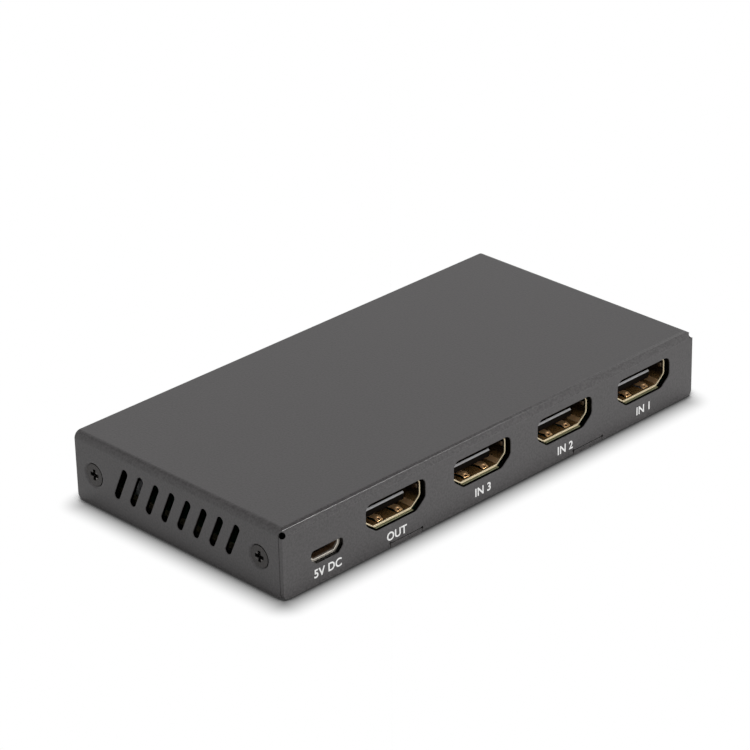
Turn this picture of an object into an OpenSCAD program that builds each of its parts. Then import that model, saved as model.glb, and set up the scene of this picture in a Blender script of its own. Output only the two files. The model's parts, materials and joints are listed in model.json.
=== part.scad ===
// Video switch box: a folded steel case with three input sockets, one output socket,
// a power socket and a push button that steps through the inputs.
// X runs along the row of sockets, Y from the front panel to the rear panel, Z up.
// The origin is the middle of the footprint, on the surface that the box stands on.

/* [Case] */
// Depth of the case from the cover's front edge to the rear face
case_d = 58.5; // [54:0.5:90]
// Space between the video sockets and the cover above them
headroom = 2.8; // [2.2:0.05:10]
// Thickness of the folded steel sheet
sheet_t = 0.9; // [0.7:0.05:1.1]
// Inside radius of every fold
fold_r = 0.65; // [0.4:0.05:0.9]
// Gap between neighbouring sheet edges
seam_gap = 0.15; // [0.1:0.05:0.3]
// Lift of the cover's lower edges above the base pan's underside
cover_lift = 0.2; // [0.1:0.05:0.4]
// Radius of the round relief at each rear top corner of the cover
relief_r = 0.65; // [0.5:0.05:0.9]
// Distance from the top down to the relief's middle at that corner
relief_drop = 0.8; // [0.6:0.05:1]
// Lean of the relief's axis, up towards that corner
relief_lean = 30; // [15:1:45]
// Radius of the side flanges' lower front corners
flange_corner_r = 1.4; // [0.5:0.1:2.5]
// Radius of the rear flange's lower corners
rear_corner_r = 1.1; // [0.5:0.1:2.5]

/* [Vents] */
// Width of a vent slot
vent_w = 1.6; // [0.8:0.1:2]
// Length of a vent slot from end to end
vent_len = 7.7; // [4:0.1:8]
// Lean of the slots, with their tops towards the rear
vent_lean = 25; // [0:0.5:40]
// Height of the slots' middles above the surface
vent_z = 7.85; // [7:0.05:9]
// Distance between neighbouring slots
vent_pitch = 4.5; // [3.5:0.05:8]
// Distance from the rear face to the first slot's middle
vent_rear = 13.7; // [13:0.05:25]
// Least distance from the last slot's middle to the front edge
vent_front = 12.4; // [11:0.05:25]

/* [Base pan] */
// Width of each rear tab
tab_w = 8.3; // [4:0.1:15]
// Distance from the middle of the case to each rear tab's middle
tab_x = 25.7; // [12:0.1:45]
// Clearance around a rear tab in its notch
tab_gap = 0.1; // [0.05:0.05:0.4]
// Radius of the round relief at each upper corner of a tab's notch
tab_relief_r = 0.3; // [0.2:0.05:0.5]
// Clearance between the front flange and the cover or the side ears
flange_gap = 0.3; // [0.2:0.05:0.6]
// Width of the cuts that free each side ear from the floor
ear_relief = 0.8; // [0.4:0.1:1.5]
// Metal left beside a thread collar on its ear
ear_edge = 0.6; // [0.3:0.05:0.9]

/* [Case screws] */
// Thread diameter of a case screw
case_screw_d = 2.5; // [2.2:0.1:3]
// Head diameter of a case screw
case_screw_head_d = 4.6; // [4.2:0.1:5.2]
// Length of a case screw, with its head
case_screw_len = 5; // [4:0.1:6]
// Depth of a head's face below the sheet
case_screw_sink = 0.15; // [0.05:0.05:0.3]
// Height of the case screws above the surface
case_screw_z = 7; // [6.5:0.05:8]
// Distance from the rear face to the rear pair of case screws
case_screw_rear = 6.55; // [5:0.05:8]
// Gap between the front flange and the thread collars behind it
case_screw_front_gap = 1.3; // [0.2:0.05:3]
// Wall of the thread collar behind each case screw
collar_wall = 0.5; // [0.3:0.05:0.8]
// Length of the thread collar behind each case screw
collar_len = 1.2; // [0.6:0.1:2]
// Clearance around a screw in its hole
screw_gap = 0.1; // [0.05:0.01:0.2]
// Gap between a screw's head and the wider mouth of its countersink
countersink_gap = 0.4; // [0.2:0.05:0.6]
// Width of a screw's cross recess
recess_w = 0.75; // [0.5:0.05:1]

/* [Front panel] */
// Thickness of the front panel
panel_t = 1.2; // [1:0.1:3]
// Gap around the front panel
panel_gap = 0.15; // [0.1:0.05:0.3]
// Height of the front panel's lower edge above the surface
panel_lift = 0.9; // [0.5:0.05:1.5]
// Thickness of the tape behind the front panel
tape_t = 0.15; // [0.1:0.05:0.4]
// Inset of the tape from the front flange's edges
tape_inset = 0.8; // [0.5:0.1:2]
// Clearance of the tape around the button and the lights
tape_gap = 0.6; // [0.3:0.1:1]

/* [Button] */
// Diameter of the button's cap
button_d = 7.1; // [5:0.1:8]
// Height of the cap in front of the panel
button_proud = 1; // [0.6:0.05:2]
// Width of the bright chamfer round the cap's face
button_chamfer = 0.5; // [0.3:0.05:0.8]
// Depth of the cap's face below its chamfer
button_dish = 0.08; // [0.04:0.01:0.2]
// Depth of the cap behind the panel's face
button_skirt = 0.8; // [0.5:0.05:1.2]
// Gap between the cap and the panel around it
button_gap = 0.5; // [0.3:0.05:0.8]
// Wall of the cap around the stem's spigot
button_wall = 1.15; // [0.6:0.05:1.4]
// Travel of the button
button_travel = 0.35; // [0.2:0.05:0.6]
// Gap between the stem and its hole in the front flange
stem_gap = 0.3; // [0.25:0.05:0.5]
// Reach of the stem's collar past that hole
stem_collar_reach = 0.5; // [0.4:0.05:0.8]
// Thickness of the stem's collar
stem_collar_t = 1; // [0.6:0.05:1.5]
// Gap between the collar and the front flange
stem_stop_gap = 0.05; // [0.02:0.01:0.1]
// Distance from the power end of the case to the button's axis
button_inset = 14.8; // [12:0.1:30]
// Clearance of pieces that are pressed or glued together
seat_gap = 0.02; // [0.01:0.01:0.04]

/* [Push switch] */
// Height of the switch's axis above the board
switch_axis = 4.4; // [4:0.05:4.8]
// Width and height of the switch's face
switch_w = 6.2; // [5:0.1:7]
// Depth of the switch's body
switch_d = 3.5; // [3:0.1:5]
// Distance from the board's front edge to the switch's body
switch_setback = 2; // [1.8:0.1:4]
// Diameter of the plunger
plunger_d = 3.4; // [2.5:0.1:4]
// Length of plunger in front of the switch's body
plunger_out = 1.2; // [0.8:0.1:1.5]
// Length of plunger inside the switch's body
plunger_in = 1; // [0.6:0.1:1.4]
// Running clearance around the plunger
plunger_gap = 0.08; // [0.05:0.01:0.1]
// Distance between the terminals across the switch
terminal_pitch = 4.5; // [3:0.1:5]
// Width of a terminal
terminal_w = 0.7; // [0.5:0.05:1]
// Thickness of a terminal
terminal_t = 0.3; // [0.2:0.05:0.4]

/* [Board] */
// Thickness of the circuit board
board_t = 1.6; // [1:0.1:2]
// Height of the standoffs above the base pan
standoff_h = 1.9; // [1.5:0.1:4]
// Diameter of a standoff
standoff_d = 5; // [4:0.1:6]
// Diameter of a standoff's shank in the base pan
shank_d = 4.2; // [3.5:0.1:4.6]
// Gap between the board's rear edge and the rear panel
board_rear_gap = 1; // [0.6:0.1:2]
// Gap between the board's front edge and the front flange
board_front_gap = 1.7; // [1.6:0.1:4]
// Gap between the board's ends and the thread collars
board_end_gap = 0.3; // [0.2:0.05:1]
// Distance from the board's ends to the standoffs
standoff_end = 4; // [3:0.1:6]
// Distance from the board's rear edge to the rear standoffs
standoff_rear = 14.5; // [13:0.1:15]
// Distance from the board's front edge to the front standoffs
standoff_front = 6.5; // [4:0.1:9]
// Thread diameter of a board screw
board_screw_d = 2.5; // [2:0.1:3]
// Head diameter of a board screw
board_screw_head_d = 4.5; // [4:0.1:5]
// Head height of a board screw
board_screw_head_h = 1.6; // [1:0.1:2]
// Length of a board screw under its head
board_screw_len = 3; // [2:0.1:3.3]
// Clearance around leads and screws in the board
lead_gap = 0.15; // [0.1:0.05:0.3]
// Length of leads below the board
lead_tail = 0.6; // [0.3:0.1:1]

/* [Video sockets] */
// Distance between neighbouring video sockets
port_pitch = 23.6; // [20:0.05:30]
// Distance from the power socket to the output socket
power_to_output = 18.05; // [15:0.05:30]
// Distance from the last input socket to the far end of the case
input_inset = 14.95; // [13:0.05:30]
// Width inside a video socket's mouth
mouth_w = 14.55; // [14:0.05:15]
// Height inside a video socket's mouth
mouth_h = 5; // [4.5:0.05:5.2]
// Width of the flat floor inside the mouth
mouth_floor_w = 10.1; // [9:0.05:11]
// Height of the mouth's sloped corners
mouth_slope_h = 1.75; // [1.5:0.05:2.5]
// Corner radius inside the mouth
mouth_r = 0.8; // [0.3:0.05:0.9]
// Thickness of a socket's shell
shell_t = 0.3; // [0.2:0.05:0.4]
// Length of a video socket's shell
shell_len = 11.2; // [10:0.1:13]
// Lift of a video socket's shell above the board
shell_lift = 1; // [0.6:0.05:1.5]
// Gap between the rear panel's inner face and every shell's rim
rim_gap = 0.15; // [0.1:0.05:0.4]
// Gap between a video socket's shell and its cut-out
port_gap = 0.35; // [0.3:0.05:0.8]
// Thickness of the guide lip under the rim
lip_t = 0.2; // [0.1:0.05:0.25]
// Reach of the guide lip in front of the rim
lip_reach = 0.55; // [0.2:0.05:0.7]
// Width of a spring finger
finger_w = 1.6; // [1:0.1:2]
// Distance from a socket's middle to its floor fingers
finger_x = 2.6; // [1.5:0.1:3.4]
// Rise of a spring finger into the mouth
finger_rise = 0.55; // [0.2:0.05:0.6]
// Distance from the rim to a finger's tip
finger_tip = 0.6; // [0.5:0.1:1.5]
// Length of a finger's ramp from its tip to its crest
finger_ramp = 1; // [0.7:0.1:1.5]
// Diameter of the hole in a floor finger's ramp
finger_hole_d = 0.5; // [0.3:0.05:0.6]
// Length of a spring finger
finger_len = 5; // [3:0.1:6]
// Width of the cut beside a spring finger
finger_cut = 0.25; // [0.15:0.05:0.4]
// Width of the spring finger in each side wall
side_finger_w = 1; // [0.6:0.1:1.1]
// Width of a shell's leg
leg_w = 1.2; // [0.8:0.1:1.6]
// Distance from the rim to the front legs
leg_front = 3.4; // [2.8:0.1:4]
// Distance from the front legs to the rear legs
leg_pitch = 5.6; // [4:0.1:6]
// Distance from the rim to the tongue's front edge
tongue_setback = 2; // [1.5:0.1:3]
// Thickness of the tongue
tongue_t = 1.8; // [1.5:0.05:2]
// Space between the mouth's floor and the tongue
tongue_lift = 0.95; // [0.7:0.05:1.4]
// Margin of the tongue beside its outer contacts
tongue_edge = 0.35; // [0.3:0.05:0.8]
// Bevel of the tongue's front edges
tongue_bevel = 0.2; // [0.1:0.05:0.5]
// Depth of the insulator's block at the shell's rear
block_d = 3.2; // [2:0.1:4]
// Number of contacts on top of the tongue, with one fewer below
contact_count = 10; // [10:1:10]
// Distance between neighbouring contacts on one side of the tongue
contact_pitch = 1; // [0.9:0.01:1.05]
// Width of a contact
contact_w = 0.3; // [0.2:0.05:0.4]
// Thickness of a contact
contact_t = 0.2; // [0.15:0.05:0.3]
// Height of a contact above the tongue's surface
contact_proud = 0.05; // [0.02:0.01:0.1]
// Distance from the tongue's front edge to the contacts
contact_setback = 0.6; // [0.4:0.1:1]
// Length of a contact's foot on the board
foot_len = 1; // [0.5:0.1:1.5]

/* [Power socket] */
// Distance from the power end of the case to the power socket
power_inset = 11.2; // [10.5:0.05:20]
// Width inside the power socket's mouth
power_w = 7.2; // [6.8:0.05:7.4]
// Height inside the power socket's mouth
power_h = 1.95; // [1.8:0.05:2.2]
// Width of the flat floor inside the power socket's mouth
power_floor_w = 5.3; // [5:0.05:5.6]
// Height of that mouth's sloped corners
power_slope_h = 0.95; // [0.8:0.05:1.1]
// Corner radius inside that mouth
power_r = 0.3; // [0.2:0.05:0.4]
// Length of the power socket's shell
power_len = 5.6; // [5:0.1:6]
// Gap between the power socket's shell and its cut-out
power_gap = 0.2; // [0.15:0.05:0.5]
// Lift of the power socket's shell above the board
power_lift = 0.35; // [0.1:0.05:0.6]
// Extra thickness of the power socket's shell at its rim
power_rim = 0.3; // [0.1:0.05:0.35]
// Length of that thick rim
power_rim_len = 0.4; // [0.2:0.05:0.6]
// Width of the power socket's tongue
power_tongue_w = 3.9; // [3.7:0.05:4.2]
// Thickness of the power socket's tongue
power_tongue_t = 0.6; // [0.5:0.05:0.7]
// Space between that mouth's floor and the tongue
power_tongue_lift = 0.75; // [0.6:0.05:0.9]
// Distance from the rim to that tongue's front edge
power_setback = 0.9; // [0.6:0.1:1.5]
// Depth of the block behind that tongue
power_block_d = 1.6; // [1:0.1:2]
// Number of contacts in the power socket
power_contacts = 5; // [5:1:5]
// Distance between neighbouring contacts in the power socket
power_pitch = 0.65; // [0.6:0.01:0.7]
// Width of a contact in the power socket
power_contact_w = 0.3; // [0.2:0.05:0.35]
// Distance from the rim to the power socket's front legs
power_leg_front = 2.2; // [2:0.1:2.5]
// Distance between the power socket's legs on one side
power_leg_pitch = 2.2; // [1.8:0.1:2.4]

/* [Components] */
// Side length of the switching chip's body
chip_w = 14; // [10:0.5:16]
// Height of the flat chips
chip_h = 1.2; // [0.8:0.1:1.6]
// Distance from the board's rear edge to the switching chip's middle
chip_rear = 27; // [26:0.5:29]
// Distance from the power end of the case to the switching chip's middle
chip_inset = 65.5; // [60:0.5:75]
// Pitch of the chips' leads
chip_pitch = 1; // [0.8:0.1:1.27]
// Reach of a chip's leads past its body
chip_lead_len = 1; // [0.6:0.1:1.2]
// Length of the control chip's body
control_w = 5; // [4:0.1:6]
// Gap between the switching chip's leads and the small parts beside it
part_gap = 2; // [1.5:0.1:3]
// Length, depth and height of the power inductor
inductor_size = [5, 5, 2.5]; // [2:0.1:6]
// Length, depth and height of the regulator's body
regulator_size = [6.5, 3.5, 1.7]; // [1:0.1:7]
// Length, depth and height of the clock crystal
crystal_size = [5, 3.2, 1.1]; // [1:0.1:6]
// Length, depth and height of a protection array
array_size = [4.5, 2, 0.9]; // [0.5:0.1:6]
// Length, depth and height of a capacitor
capacitor_size = [2, 1.25, 0.9]; // [0.5:0.05:3]
// Length, depth and height of a resistor
resistor_size = [1.6, 0.8, 0.5]; // [0.3:0.05:2]
// Number of capacitors in the row
capacitor_count = 10; // [4:1:12]
// Number of resistors behind each video socket
resistor_count = 4; // [2:1:5]
// Distance between neighbouring small parts in a row
row_pitch = 2.6; // [2.4:0.1:4]
// Number of status lights
led_count = 4; // [1:1:6]
// Distance from the board's far end to the first status light
led_end = 12; // [9:0.5:20]
// Distance between neighbouring status lights
led_pitch = 8; // [5:0.5:12]
// Width, depth and height of a status light
led_size = [3, 1.5, 1.4]; // [1:0.1:4]
// Diameter of the light holes in the front flange
led_hole_d = 2; // [1:0.1:3]

/* [Hidden] */
$fn = 64;
// Segments in each rounded corner of a socket's outline
arc_steps = 4;
// Overshoot of a cut past the face that it opens
cut = 1;

// Heights, from the surface up
board_bottom = sheet_t + standoff_h;
board_top = board_bottom + board_t;
port_floor = board_top + shell_lift + shell_t;
port_top = port_floor + mouth_h + shell_t;
inner_top = port_top + headroom;
case_h = inner_top + sheet_t;
button_z = board_top + switch_axis;
power_floor = board_top + power_lift + shell_t;

// Places along the row of sockets
input_count = 3;
case_w = power_inset + power_to_output + input_count * port_pitch + input_inset;
x_end = case_w / 2;
x_inner = x_end - sheet_t;
x_ear = x_inner - seam_gap;
power_x = x_end - power_inset;
ports_x = [for (i = [0:input_count]) power_x - power_to_output - i * port_pitch];
button_x = x_end - button_inset;

// Places from the front to the rear
y_rear = (case_d + button_proud) / 2;
y_front = y_rear - case_d;
y_inner = y_rear - sheet_t;
y_rim = y_inner - rim_gap;
panel_back = y_front + panel_t;
flange_face = panel_back + tape_t;
flange_back = flange_face + sheet_t;
collar_face = flange_back + stem_stop_gap;
collar_back = collar_face + stem_collar_t;
board_front = flange_back + board_front_gap;
board_rear = y_inner - board_rear_gap;
switch_face = board_front + switch_setback;
plunger_face = switch_face - plunger_out;

// Folds, ears and screws
fold_outer = fold_r + sheet_t;
thread_r = case_screw_d / 2;
head_r = case_screw_head_d / 2;
head_h = head_r - thread_r;
collar_r = thread_r + collar_wall;
ear_half = collar_r + ear_edge;
ear_top = case_screw_z + ear_half;
screws_y = [flange_back + case_screw_front_gap + collar_r, y_rear - case_screw_rear];
flange_end = x_ear - sheet_t - flange_gap;
flange_top = inner_top - flange_gap;
stem_hole_r = button_d / 2 + stem_gap;
panel_hole_r = button_d / 2 + button_gap;
stem_collar_r = stem_hole_r + stem_collar_reach;

// Board, standoffs and lights
board_end = x_ear - sheet_t - collar_len - board_end_gap;
standoffs_x = [-board_end + standoff_end, board_end - standoff_end];
standoffs_y = [board_front + standoff_front, board_rear - standoff_rear];
leds_x = [for (i = [0:led_count - 1]) -board_end + led_end + i * led_pitch];
led_z = board_top + led_size.z / 2;
chip_x = x_end - chip_inset;
chip_y = board_rear - chip_rear;
chip_reach = chip_w / 2 + chip_lead_len;

// Socket outlines as width, height, floor width and slope height
video_mouth = [mouth_w, mouth_h, mouth_floor_w, mouth_slope_h];
power_mouth = [power_w, power_h, power_floor_w, power_slope_h];
tongue_w = (contact_count - 1) * contact_pitch + contact_w + 2 * tongue_edge;

// Colours of the materials
paint = [0.13, 0.13, 0.14];
black_steel = [0.07, 0.07, 0.07];
gloss_black = [0.02, 0.02, 0.025];
black_plastic = [0.05, 0.05, 0.05];
steel = [0.75, 0.75, 0.77];
gold_plate = [0.80, 0.66, 0.36];
brass = [0.72, 0.58, 0.30];
board_green = [0.06, 0.30, 0.14];

// Unit vector along v
function unit(v) = v / norm(v);

// Points of a round corner at b, on an outline that runs a, b, c anticlockwise
function corner_points(a, b, c, r) =
  let (
    u = unit(a - b),
    v = unit(c - b),
    half = acos(u * v) / 2,
    middle = b + unit(u + v) * r / sin(half),
    start = b + u * r / tan(half) - middle,
    first = atan2(start.y, start.x),
    sweep = 180 - 2 * half
  )
  [
    for (i = [0:arc_steps])
      middle + r * [cos(first + sweep * i / arc_steps), sin(first + sweep * i / arc_steps)]
  ];

// An anticlockwise outline with every corner rounded
function rounded(points, r) =
  let (n = len(points))
  [
    for (i = [0:n - 1])
      each corner_points(points[(i + n - 1) % n], points[i], points[(i + 1) % n], r)
  ];

// Corners of a socket's mouth, wide at the top, with every side moved out by grow
function mouth_corners(mouth, grow) =
  let (
    half_w = mouth[0] / 2,
    half_floor = mouth[2] / 2,
    slope = atan2(mouth[3], half_w - half_floor),
    floor_x = half_floor + grow * tan(slope / 2),
    side_x = half_w + grow,
    shoulder = mouth[3] - grow * tan((90 - slope) / 2),
    top = mouth[1] + grow
  )
  [
    [floor_x, -grow], [side_x, shoulder], [side_x, top],
    [-side_x, top], [-side_x, shoulder], [-floor_x, -grow]
  ];

module mouth_section(mouth, r, grow) {
  polygon(rounded(mouth_corners(mouth, grow), r + grow));
}

// Extrudes an outline drawn in X and Z from y0 to y1
module along_y(y0, y1) {
  translate([0, y1, 0])
    rotate([90, 0, 0])
      linear_extrude(y1 - y0)
        children();
}

// Extrudes an outline drawn in Y and Z from x0 to x1
module along_x(x0, x1) {
  translate([x0, 0, 0])
    rotate([90, 0, 90])
      linear_extrude(x1 - x0)
        children();
}

// A box that stands on z0, centred on x and y
module block(size, x, y, z0) {
  translate([x - size.x / 2, y - size.y / 2, z0])
    cube(size);
}

// A rectangle whose corner at the origin is round
module round_corner(size, r) {
  translate([r, 0])
    square([size.x - r, size.y]);
  translate([0, r])
    square([size.x, size.y - r]);
  translate([r, r])
    circle(r);
}

// The section of a sheet that runs along +X and turns up along +Y
module fold_section(run, rise) {
  difference() {
    round_corner([run, rise], fold_outer);
    translate([sheet_t, sheet_t])
      round_corner([run, rise], fold_r);
  }
}

// What is left of a square corner outside its round, at the origin, towards +X and +Y
module corner_waste(r) {
  difference() {
    translate([-cut, -cut])
      square(r + cut);
    translate([r, r])
      circle(r);
  }
}

// The case's outside shape, moved in by inset, open below and at the front
module case_block(inset, low, front) {
  r = fold_outer - inset;
  side = x_end - inset;
  rear = y_rear - inset;
  top = case_h - inset;
  intersection() {
    along_y(front, rear) {
      translate([-side, top])
        mirror([0, 1])
          round_corner([side + cut, top - low], r);
      translate([side, top])
        rotate(180)
          round_corner([side + cut, top - low], r);
    }
    along_x(-side, side)
      translate([rear, top])
        rotate(180)
          round_corner([rear - front, top - low], r);
  }
}

// A case screw's shape along +X, its head's face at x = 0, grown by gap
module case_screw_shape(gap) {
  rotate([0, 90, 0]) {
    cylinder(h = case_screw_len + gap, r = thread_r + gap);
    cylinder(h = head_h, r1 = head_r + gap, r2 = thread_r + gap);
  }
}

// The hole for a case screw, with a countersink that narrows to the head at the sheet's inner face
module case_screw_hole() {
  open_r = head_r + countersink_gap;
  seat_r = head_r - (sheet_t - case_screw_sink) + screw_gap;
  case_screw_shape(screw_gap);
  translate([-case_screw_sink, 0, 0])
    rotate([0, 90, 0]) {
      cylinder(h = sheet_t, r1 = open_r, r2 = seat_r);
      translate([0, 0, -cut])
        cylinder(h = cut, r = open_r);
    }
}

// Places its children at the four case screws, with +X into the case
module at_case_screws() {
  for (y = screws_y)
    for (side = [0, 1])
      mirror([side, 0, 0])
        translate([-x_end + case_screw_sink, y, case_screw_z])
          children();
}

module vents() {
  row = case_d - vent_rear - vent_front;
  for (i = [0:floor(row / vent_pitch)])
    along_x(-x_end - cut, x_end + cut)
      translate([y_rear - vent_rear - i * vent_pitch, vent_z])
        rotate(-vent_lean) {
          straight = vent_len - vent_w;
          square([vent_w, straight], center = true);
          for (end = [-1, 1])
            translate([0, end * straight / 2])
              circle(vent_w / 2);
        }
}

module port_cutouts() {
  along_y(y_inner - cut, y_rear + cut) {
    for (x = ports_x)
      translate([x, port_floor])
        mouth_section(video_mouth, mouth_r, shell_t + port_gap);
    translate([power_x, power_floor])
      mouth_section(power_mouth, power_r, shell_t + power_gap);
  }
}

// Gaps that part the cover's side flanges from its rear flange, with a round relief on top
module cover_seams() {
  relief_z = case_h - relief_drop;
  seam_top = relief_z - sheet_t * tan(relief_lean);
  for (side = [0, 1])
    mirror([side, 0, 0]) {
      translate([x_inner - cut, y_inner - seam_gap, -cut])
        cube([sheet_t + 2 * cut, seam_gap, seam_top + cut]);
      translate([x_end, y_rear, relief_z])
        rotate([0, 90 - relief_lean, 45])
          cylinder(h = 4 * fold_outer, r = relief_r, center = true);
    }
}

// Rounds at the lower corners of the side flanges in front and of the rear flange
module cover_corners() {
  for (side = [0, 1])
    mirror([side, 0, 0]) {
      along_x(x_inner - fold_r, x_end + cut)
        translate([y_front, cover_lift])
          corner_waste(flange_corner_r);
      along_y(y_inner - seam_gap / 2, y_rear + cut)
        translate([x_end, cover_lift])
          mirror([1, 0])
            corner_waste(rear_corner_r);
    }
}

// Notches for the rear tabs, with a round relief at each upper corner
module tab_notches() {
  notch_w = tab_w + 2 * tab_gap;
  notch_h = sheet_t + tab_gap;
  along_y(y_inner - cut, y_rear + cut)
    for (x = [-tab_x, tab_x]) {
      translate([x - notch_w / 2, -cut])
        square([notch_w, cut + notch_h]);
      for (end = [-1, 1])
        translate([x + end * notch_w / 2, notch_h])
          circle(tab_relief_r);
    }
}

module top_cover() {
  color(paint)
    difference() {
      case_block(0, cover_lift, y_front);
      case_block(sheet_t, -cut, y_front - cut);
      cover_seams();
      cover_corners();
      tab_notches();
      port_cutouts();
      vents();
      at_case_screws()
        case_screw_hole();
    }
}

// A side ear with its fold and thread collar, centred on y
module side_ear(y) {
  difference() {
    union() {
      intersection() {
        translate([0, y + ear_half, 0])
          rotate([90, 0, 0])
            linear_extrude(2 * ear_half)
              translate([-x_ear, 0])
                fold_section(fold_outer + cut, ear_top);
        along_x(-x_ear, -x_ear + fold_outer + cut)
          translate([y - ear_half, ear_top])
            mirror([0, 1]) {
              r = ear_half - ear_edge;
              translate([r, 0])
                square([2 * (ear_half - r), r]);
              translate([0, r])
                square([2 * ear_half, ear_top - r]);
              for (x = [r, 2 * ear_half - r])
                translate([x, r])
                  circle(r);
            }
      }
      translate([-x_ear + sheet_t / 2, y, case_screw_z])
        rotate([0, 90, 0])
          cylinder(h = sheet_t / 2 + collar_len, r = collar_r);
    }
    translate([-x_end + case_screw_sink, y, case_screw_z])
      case_screw_hole();
  }
}

// The base pan's floor, cut away around the ears' folds
module pan_floor() {
  front = flange_face + fold_outer;
  rear = y_inner - seam_gap;
  difference() {
    union() {
      translate([-x_ear, front, 0])
        cube([2 * x_ear, rear - front, sheet_t]);
      for (x = [-tab_x, tab_x])
        translate([x - tab_w / 2, rear - cut, 0])
          cube([tab_w, y_rear - rear + cut, sheet_t]);
    }
    for (side = [0, 1])
      mirror([side, 0, 0])
        for (y = screws_y)
          translate([-x_ear - cut, y - ear_half - ear_relief, -cut])
            cube([fold_outer + cut, 2 * (ear_half + ear_relief), sheet_t + 2 * cut]);
    for (x = standoffs_x)
      for (y = standoffs_y)
        translate([x, y, -cut])
          cylinder(h = sheet_t + 2 * cut, d = shank_d + 2 * seat_gap);
  }
}

module front_flange() {
  difference() {
    along_x(-flange_end, flange_end)
      translate([flange_face, 0])
        fold_section(fold_outer + cut, flange_top);
    along_y(flange_face - cut, flange_back + cut) {
      translate([button_x, button_z])
        circle(stem_hole_r);
      for (x = leds_x)
        translate([x, led_z])
          circle(led_hole_d / 2);
    }
  }
}

module base_pan() {
  color(paint) {
    pan_floor();
    front_flange();
    for (side = [0, 1])
      mirror([side, 0, 0])
        for (y = screws_y)
          side_ear(y);
  }
}

// A cross recess of the given width and depth, sunk along +X from x = 0
module cross_recess(span, depth) {
  for (turn = [0, 90])
    rotate([turn, 0, 0])
      translate([-cut, -span / 2, -recess_w / 2])
        cube([cut + depth, span, recess_w]);
}

module case_screws() {
  color(black_steel)
    at_case_screws()
      difference() {
        case_screw_shape(0);
        cross_recess(head_r, head_h);
      }
}

// The outline of what fits inside the cover's front, as far as gap from the sheet
module front_outline(gap, low) {
  half_w = x_inner - gap;
  top = inner_top - gap;
  translate([-half_w, top])
    mirror([0, 1])
      round_corner([half_w + cut, top - low], fold_r);
  translate([half_w, top])
    rotate(180)
      round_corner([half_w + cut, top - low], fold_r);
}

module front_panel() {
  color(gloss_black)
    difference() {
      along_y(y_front, panel_back)
        front_outline(panel_gap, panel_lift);
      along_y(y_front - cut, panel_back + cut)
        translate([button_x, button_z])
          circle(panel_hole_r);
    }
}

module panel_tape() {
  color(black_plastic)
    along_y(panel_back, flange_face)
      difference() {
        translate([-flange_end + tape_inset, fold_outer])
          square([2 * (flange_end - tape_inset), flange_top - tape_inset - fold_outer]);
        translate([button_x, button_z])
          circle(panel_hole_r + tape_gap);
        for (x = leds_x)
          translate([x, led_z])
            circle(led_hole_d / 2 + tape_gap);
      }
}

// Turns its children's outline about the button's axis, with outline +Y towards the rear
module on_button_axis(y) {
  translate([button_x, y, button_z])
    rotate([-90, 0, 0])
      rotate_extrude()
        children();
}

module button_cap() {
  r = button_d / 2;
  spigot_r = r - button_wall + seat_gap;
  depth = button_proud + button_skirt;
  socket = button_proud + seat_gap;
  color(steel)
    on_button_axis(y_front - button_proud)
      polygon([
        [0, button_dish], [r - button_chamfer - button_dish, button_dish], [r - button_chamfer, 0],
        [r, button_chamfer], [r, depth], [spigot_r, depth], [spigot_r, socket], [0, socket]
      ]);
}

module button_stem() {
  r = button_d / 2;
  cap_back = y_front + button_skirt;
  spigot_r = r - button_wall;
  rod_r = plunger_d / 2;
  color(black_plastic)
    on_button_axis(0)
      polygon([
        [0, y_front + 2 * seat_gap], [spigot_r, y_front + 2 * seat_gap], [spigot_r, cap_back],
        [r, cap_back], [r, collar_face], [stem_collar_r, collar_face], [stem_collar_r, collar_back],
        [rod_r, collar_back], [rod_r, plunger_face], [0, plunger_face]
      ]);
}

module push_switch_body() {
  top = button_z + switch_w / 2;
  hole_r = plunger_d / 2 + plunger_gap;
  hole_d = plunger_in + button_travel + plunger_gap;
  color(black_plastic)
    difference() {
      block([switch_w, switch_d, top - board_top], button_x, switch_face + switch_d / 2, board_top);
      translate([button_x, switch_face - cut, button_z])
        rotate([-90, 0, 0])
          cylinder(h = hole_d + cut, r = hole_r);
    }
}

module push_switch_plunger() {
  color(black_plastic)
    translate([button_x, plunger_face, button_z])
      rotate([-90, 0, 0])
        cylinder(h = plunger_out + plunger_in, d = plunger_d);
}

// Places its children at the push switch's four terminals
module at_terminals() {
  for (side = [-1, 1])
    for (row = [1, 3])
      translate([button_x + side * terminal_pitch / 2, switch_face + row * switch_d / 4, 0])
        children();
}

module push_switch_terminals() {
  color(steel)
    at_terminals()
      block([terminal_t, terminal_w, board_t + lead_tail], 0, 0, board_bottom - lead_tail);
}

// Places its children at a socket's four legs, measured from the socket's middle and rim
module at_legs(half_w, front, pitch) {
  for (side = [-1, 1])
    for (y = [front, front + pitch])
      translate([side * half_w, -y, 0])
        children();
}

// Slots in the board for one socket's legs
module leg_slots(mouth, front, pitch) {
  at_legs((mouth[0] + shell_t) / 2, front, pitch)
    block([shell_t + 2 * lead_gap, leg_w + 2 * lead_gap, board_t + 2 * cut], 0, 0, board_bottom - cut);
}

module main_board() {
  color(board_green)
    difference() {
      translate([-board_end, board_front, board_bottom])
        cube([2 * board_end, board_rear - board_front, board_t]);
      for (x = standoffs_x)
        for (y = standoffs_y)
          translate([x, y, board_bottom - cut])
            cylinder(h = board_t + 2 * cut, d = board_screw_d + 2 * lead_gap);
      for (x = ports_x)
        translate([x, y_rim, 0])
          leg_slots(video_mouth, leg_front, leg_pitch);
      translate([power_x, y_rim, 0])
        leg_slots(power_mouth, power_leg_front, power_leg_pitch);
      at_terminals()
        block([terminal_t + 2 * lead_gap, terminal_w + 2 * lead_gap, board_t + 2 * cut], 0, 0,
          board_bottom - cut);
    }
}

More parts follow.
